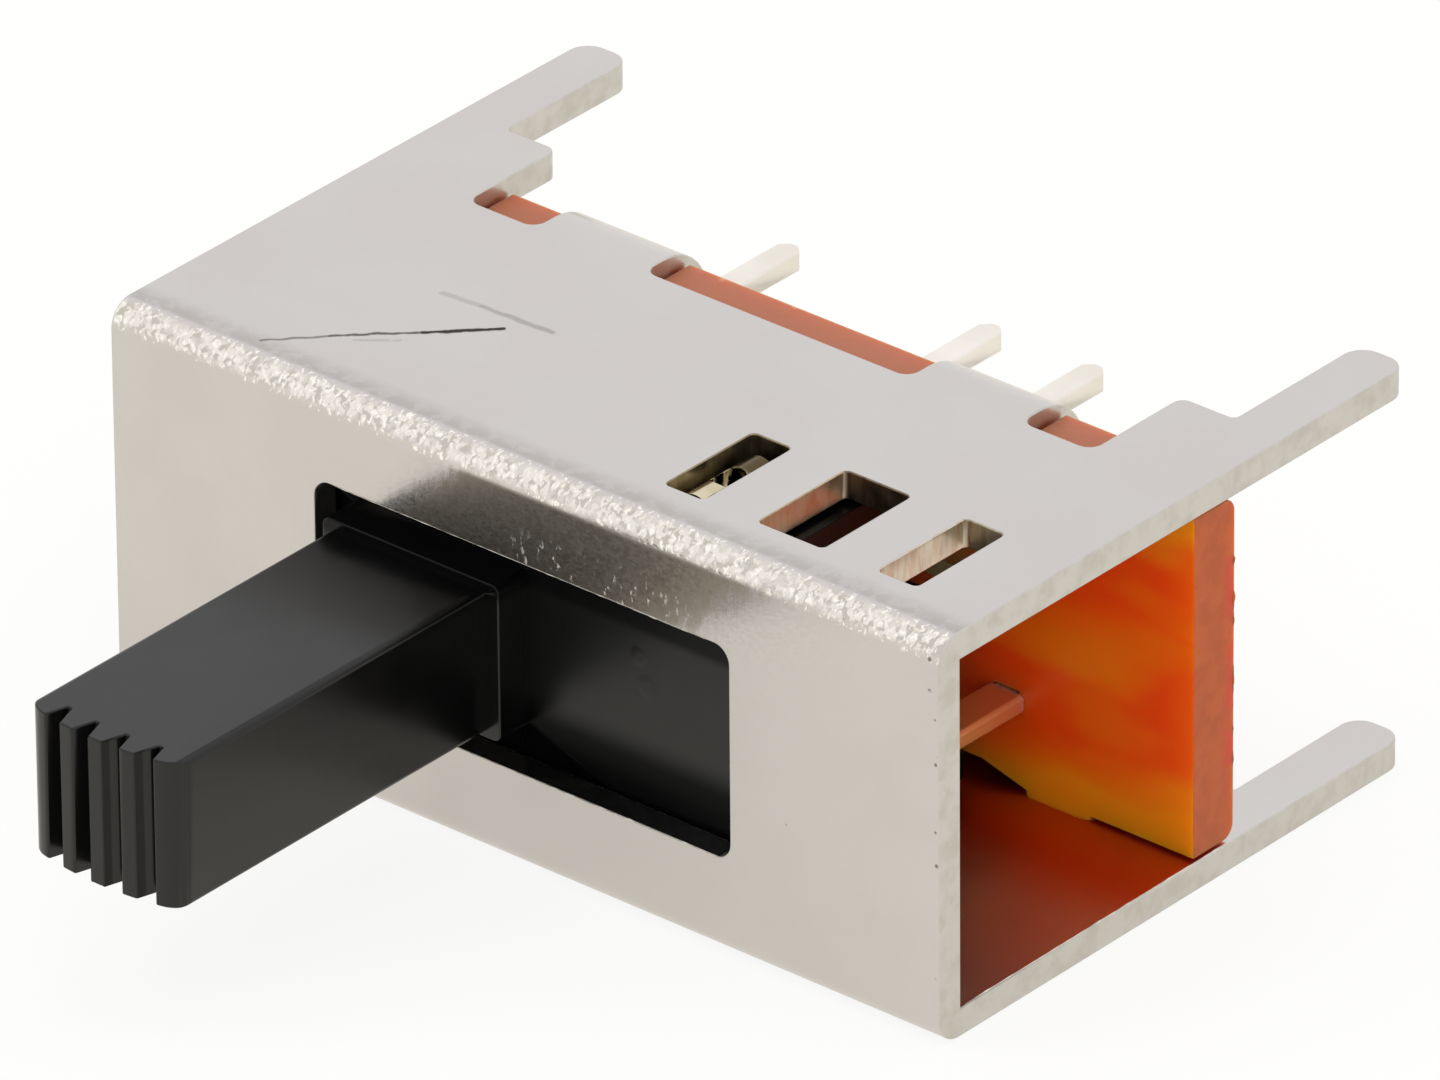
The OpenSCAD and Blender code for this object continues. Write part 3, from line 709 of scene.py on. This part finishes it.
# burrs that the punch left, as ragged beads along an edge
burrs = {                                # start, end, greatest radius, rings and seed; material and slot
    "base_burr": ((endX - 0.07, baseRear - 0.03, 1.3), (endX - 0.07, baseRear - 0.03, 5.9), 0.05, 90, 3,
                  laminate, "base_laminate"),
    "opening_burr": ((endX - 0.035, frontY + 0.62, sheetThick), (endX - 0.035, baseFront + 0.9, sheetThick),
                     0.03, 150, 5, burrWithGlint, "frame_steel"),
    "slot_burr_lower": ((-3.4, frontY + 0.01, slotBottom - 0.005), (3.9, frontY + 0.01, slotBottom - 0.005),
                        0.02, 190, 8, burrWithGlint, "frame_steel"),
    "slot_burr_upper": ((-3.9, frontY + 0.01, slotTop), (3.8, frontY + 0.01, slotTop), 0.014, 190, 13,
                        burrWithGlint, "frame_steel"),
}


# Closed surface of rings round the line from start to end: each ring's radius is a smoothed random number
# cubed, between a fifth and all of the greatest radius, and runs out to nothing at both ends
def ragged(start, end, radius, rings, seed, sides=7):
    rng = np.random.default_rng(seed)
    start, end = np.array(start), np.array(end)
    axis = (end - start) / np.linalg.norm(end - start)
    across = np.cross(axis, (0.31, 0.52, 0.79))
    across /= np.linalg.norm(across)
    upward = np.cross(axis, across)
    t = np.linspace(0, 1, rings)
    swell = np.convolve(rng.uniform(0, 1, rings + 4), (0.1, 0.25, 0.3, 0.25, 0.1), "valid") ** 3
    swell = 0.2 + 0.8 * (swell - swell.min()) / (swell.max() - swell.min())
    reach = radius * swell * np.sqrt(np.clip(np.minimum(t, 1 - t) * 12, 0.0004, 1))
    turn = np.linspace(0, 2 * np.pi, sides, endpoint=False)
    spoke = np.cos(turn)[:, None] * across + np.sin(turn)[:, None] * upward
    spine = start + t[:, None] * (end - start)
    rough = rng.uniform(0.8, 1.0, (rings, sides))
    ringPoints = spine[:, None, :] + (reach[:, None] * rough)[:, :, None] * spoke[None]
    points = np.concatenate([ringPoints.reshape(-1, 3), start[None], end[None]])
    i, j = np.meshgrid(np.arange(rings - 1), np.arange(sides), indexing="ij")
    k = (j + 1) % sides
    quads = np.stack([i * sides + j, i * sides + k, (i + 1) * sides + k, (i + 1) * sides + j], -1)
    side = np.arange(sides)
    after = (side + 1) % sides
    last = (rings - 1) * sides
    caps = [(rings * sides, int(b), int(a)) for a, b in zip(side, after)]
    caps += [(rings * sides + 1, int(last + a), int(last + b)) for a, b in zip(side, after)]
    return points, quads.reshape(-1, 4).tolist() + caps


def addBurr(name, start, end, radius, rings, seed, material, slot):
    points, faces = ragged(start, end, radius, rings, seed)
    mesh = bpy.data.meshes.new(name)
    mesh.from_pydata((points * mm).tolist(), [], faces)
    mesh.polygons.foreach_set("use_smooth", np.ones(len(mesh.polygons), bool))
    mesh.materials.append(material)
    piece = bpy.data.objects.new(name, mesh)
    bpy.context.scene.collection.objects.link(piece)
    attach(piece, "housing")


for name, facts in burrs.items():
    addBurr(name, *facts)
print("burrs added")


# studio
studio = {
    "skyColour": (0.97, 0.975, 1.0, 1),
    "skyLight": 0.62,
    "floorColour": (0.95, 0.93, 0.85, 1),
    "floorWhite": 0.86,                  # share of plain light in what the camera sees of the floor
    "floorShine": 0.75,                  # the same for gloss
    "floorGlow": (1.0, 0.975, 0.9, 1),   # its colour in gloss
    "floorReach": 1.2,
    "floorDrop": 0.02 * mm,              # below the switch
    "aim": (0, 0.001, 0.003),            # of all three lamps, which don't show in gloss
    "key": {"spot": (-0.16, -0.14, 0.2), "size": 0.3, "power": 0.33, "colour": (1.0, 0.98, 0.95)},
    "fill": {"spot": (0.22, -0.16, 0.1), "size": 0.3, "power": 0.31, "colour": (1.0, 1.0, 1.0)},
    "top": {"spot": (0.02, 0.08, 0.3), "size": 0.3, "power": 0.3, "colour": (0.98, 0.99, 1.0)},
}


def addLamp(name, facts):
    data = bpy.data.lights.new(name, "AREA")
    data.shape = "SQUARE"
    data.size = facts["size"]
    data.energy = facts["power"]
    data.color = facts["colour"]
    lamp = bpy.data.objects.new(name, data)
    bpy.context.scene.collection.objects.link(lamp)
    lamp.visible_glossy = False
    lamp.location = facts["spot"]
    lamp.rotation_euler = (Vector(studio["aim"]) - lamp.location).to_track_quat("-Z", "Y").to_euler()


# A wide sheet that the camera sees as white, apart from the object's shadow
def makeFloor():
    mesh = bpy.data.meshes.new("floor")
    reach = studio["floorReach"]
    corners = [(-reach, -reach, 0), (reach, -reach, 0), (reach, reach, 0), (-reach, reach, 0)]
    mesh.from_pydata(corners, [], [(0, 1, 2, 3)])
    floor = bpy.data.objects.new("floor", mesh)
    floor.location.z = -studio["floorDrop"]
    bpy.context.scene.collection.objects.link(floor)
    material, tree, shader = principled("floorPaper")
    feed(tree, shader, Base_Color=studio["floorColour"], Roughness=0.9)
    shader.inputs["Specular IOR Level"].default_value = 0.1
    path = place(tree, "ShaderNodeLightPath").outputs
    glow = blendColour(tree, path["Is Camera Ray"], studio["floorGlow"], (1, 1, 1, 1))
    white = place(tree, "ShaderNodeEmission", {"Color": glow, "Strength": 1.0})
    share = greatest(tree, [multiply(tree, path["Is Camera Ray"], studio["floorWhite"]),
                            multiply(tree, path["Is Glossy Ray"], studio["floorShine"]),
                            multiply(tree, path["Is Transmission Ray"], studio["floorShine"])])
    mix = place(tree, "ShaderNodeMixShader", {0: share, 1: shader.outputs[0], 2: white.outputs[0]})
    out = next(n for n in tree.nodes if n.type == "OUTPUT_MATERIAL")
    tree.links.new(mix.outputs[0], out.inputs["Surface"])
    mesh.materials.append(material)


def makeSky():
    world = bpy.data.worlds.new("studioSky")
    bpy.context.scene.world = world
    world.use_nodes = True
    tree = world.node_tree
    tree.nodes.clear()
    path = place(tree, "ShaderNodeLightPath").outputs
    seen = greatest(tree, [path["Is Camera Ray"], path["Is Glossy Ray"], path["Is Transmission Ray"]])
    light = place(tree, "ShaderNodeBackground",
                  {"Color": studio["skyColour"], "Strength": studio["skyLight"]})
    white = place(tree, "ShaderNodeBackground", {"Color": (1, 1, 1, 1), "Strength": 1.0})
    mix = place(tree, "ShaderNodeMixShader", {0: seen, 1: light.outputs[0], 2: white.outputs[0]})
    out = place(tree, "ShaderNodeOutputWorld")
    tree.links.new(mix.outputs[0], out.inputs["Surface"])


makeFloor()
makeSky()
for name in ("key", "fill", "top"):
    addLamp(name + "Lamp", studio[name])
bpy.context.scene.view_settings.view_transform = "Standard"
print("studio lit")
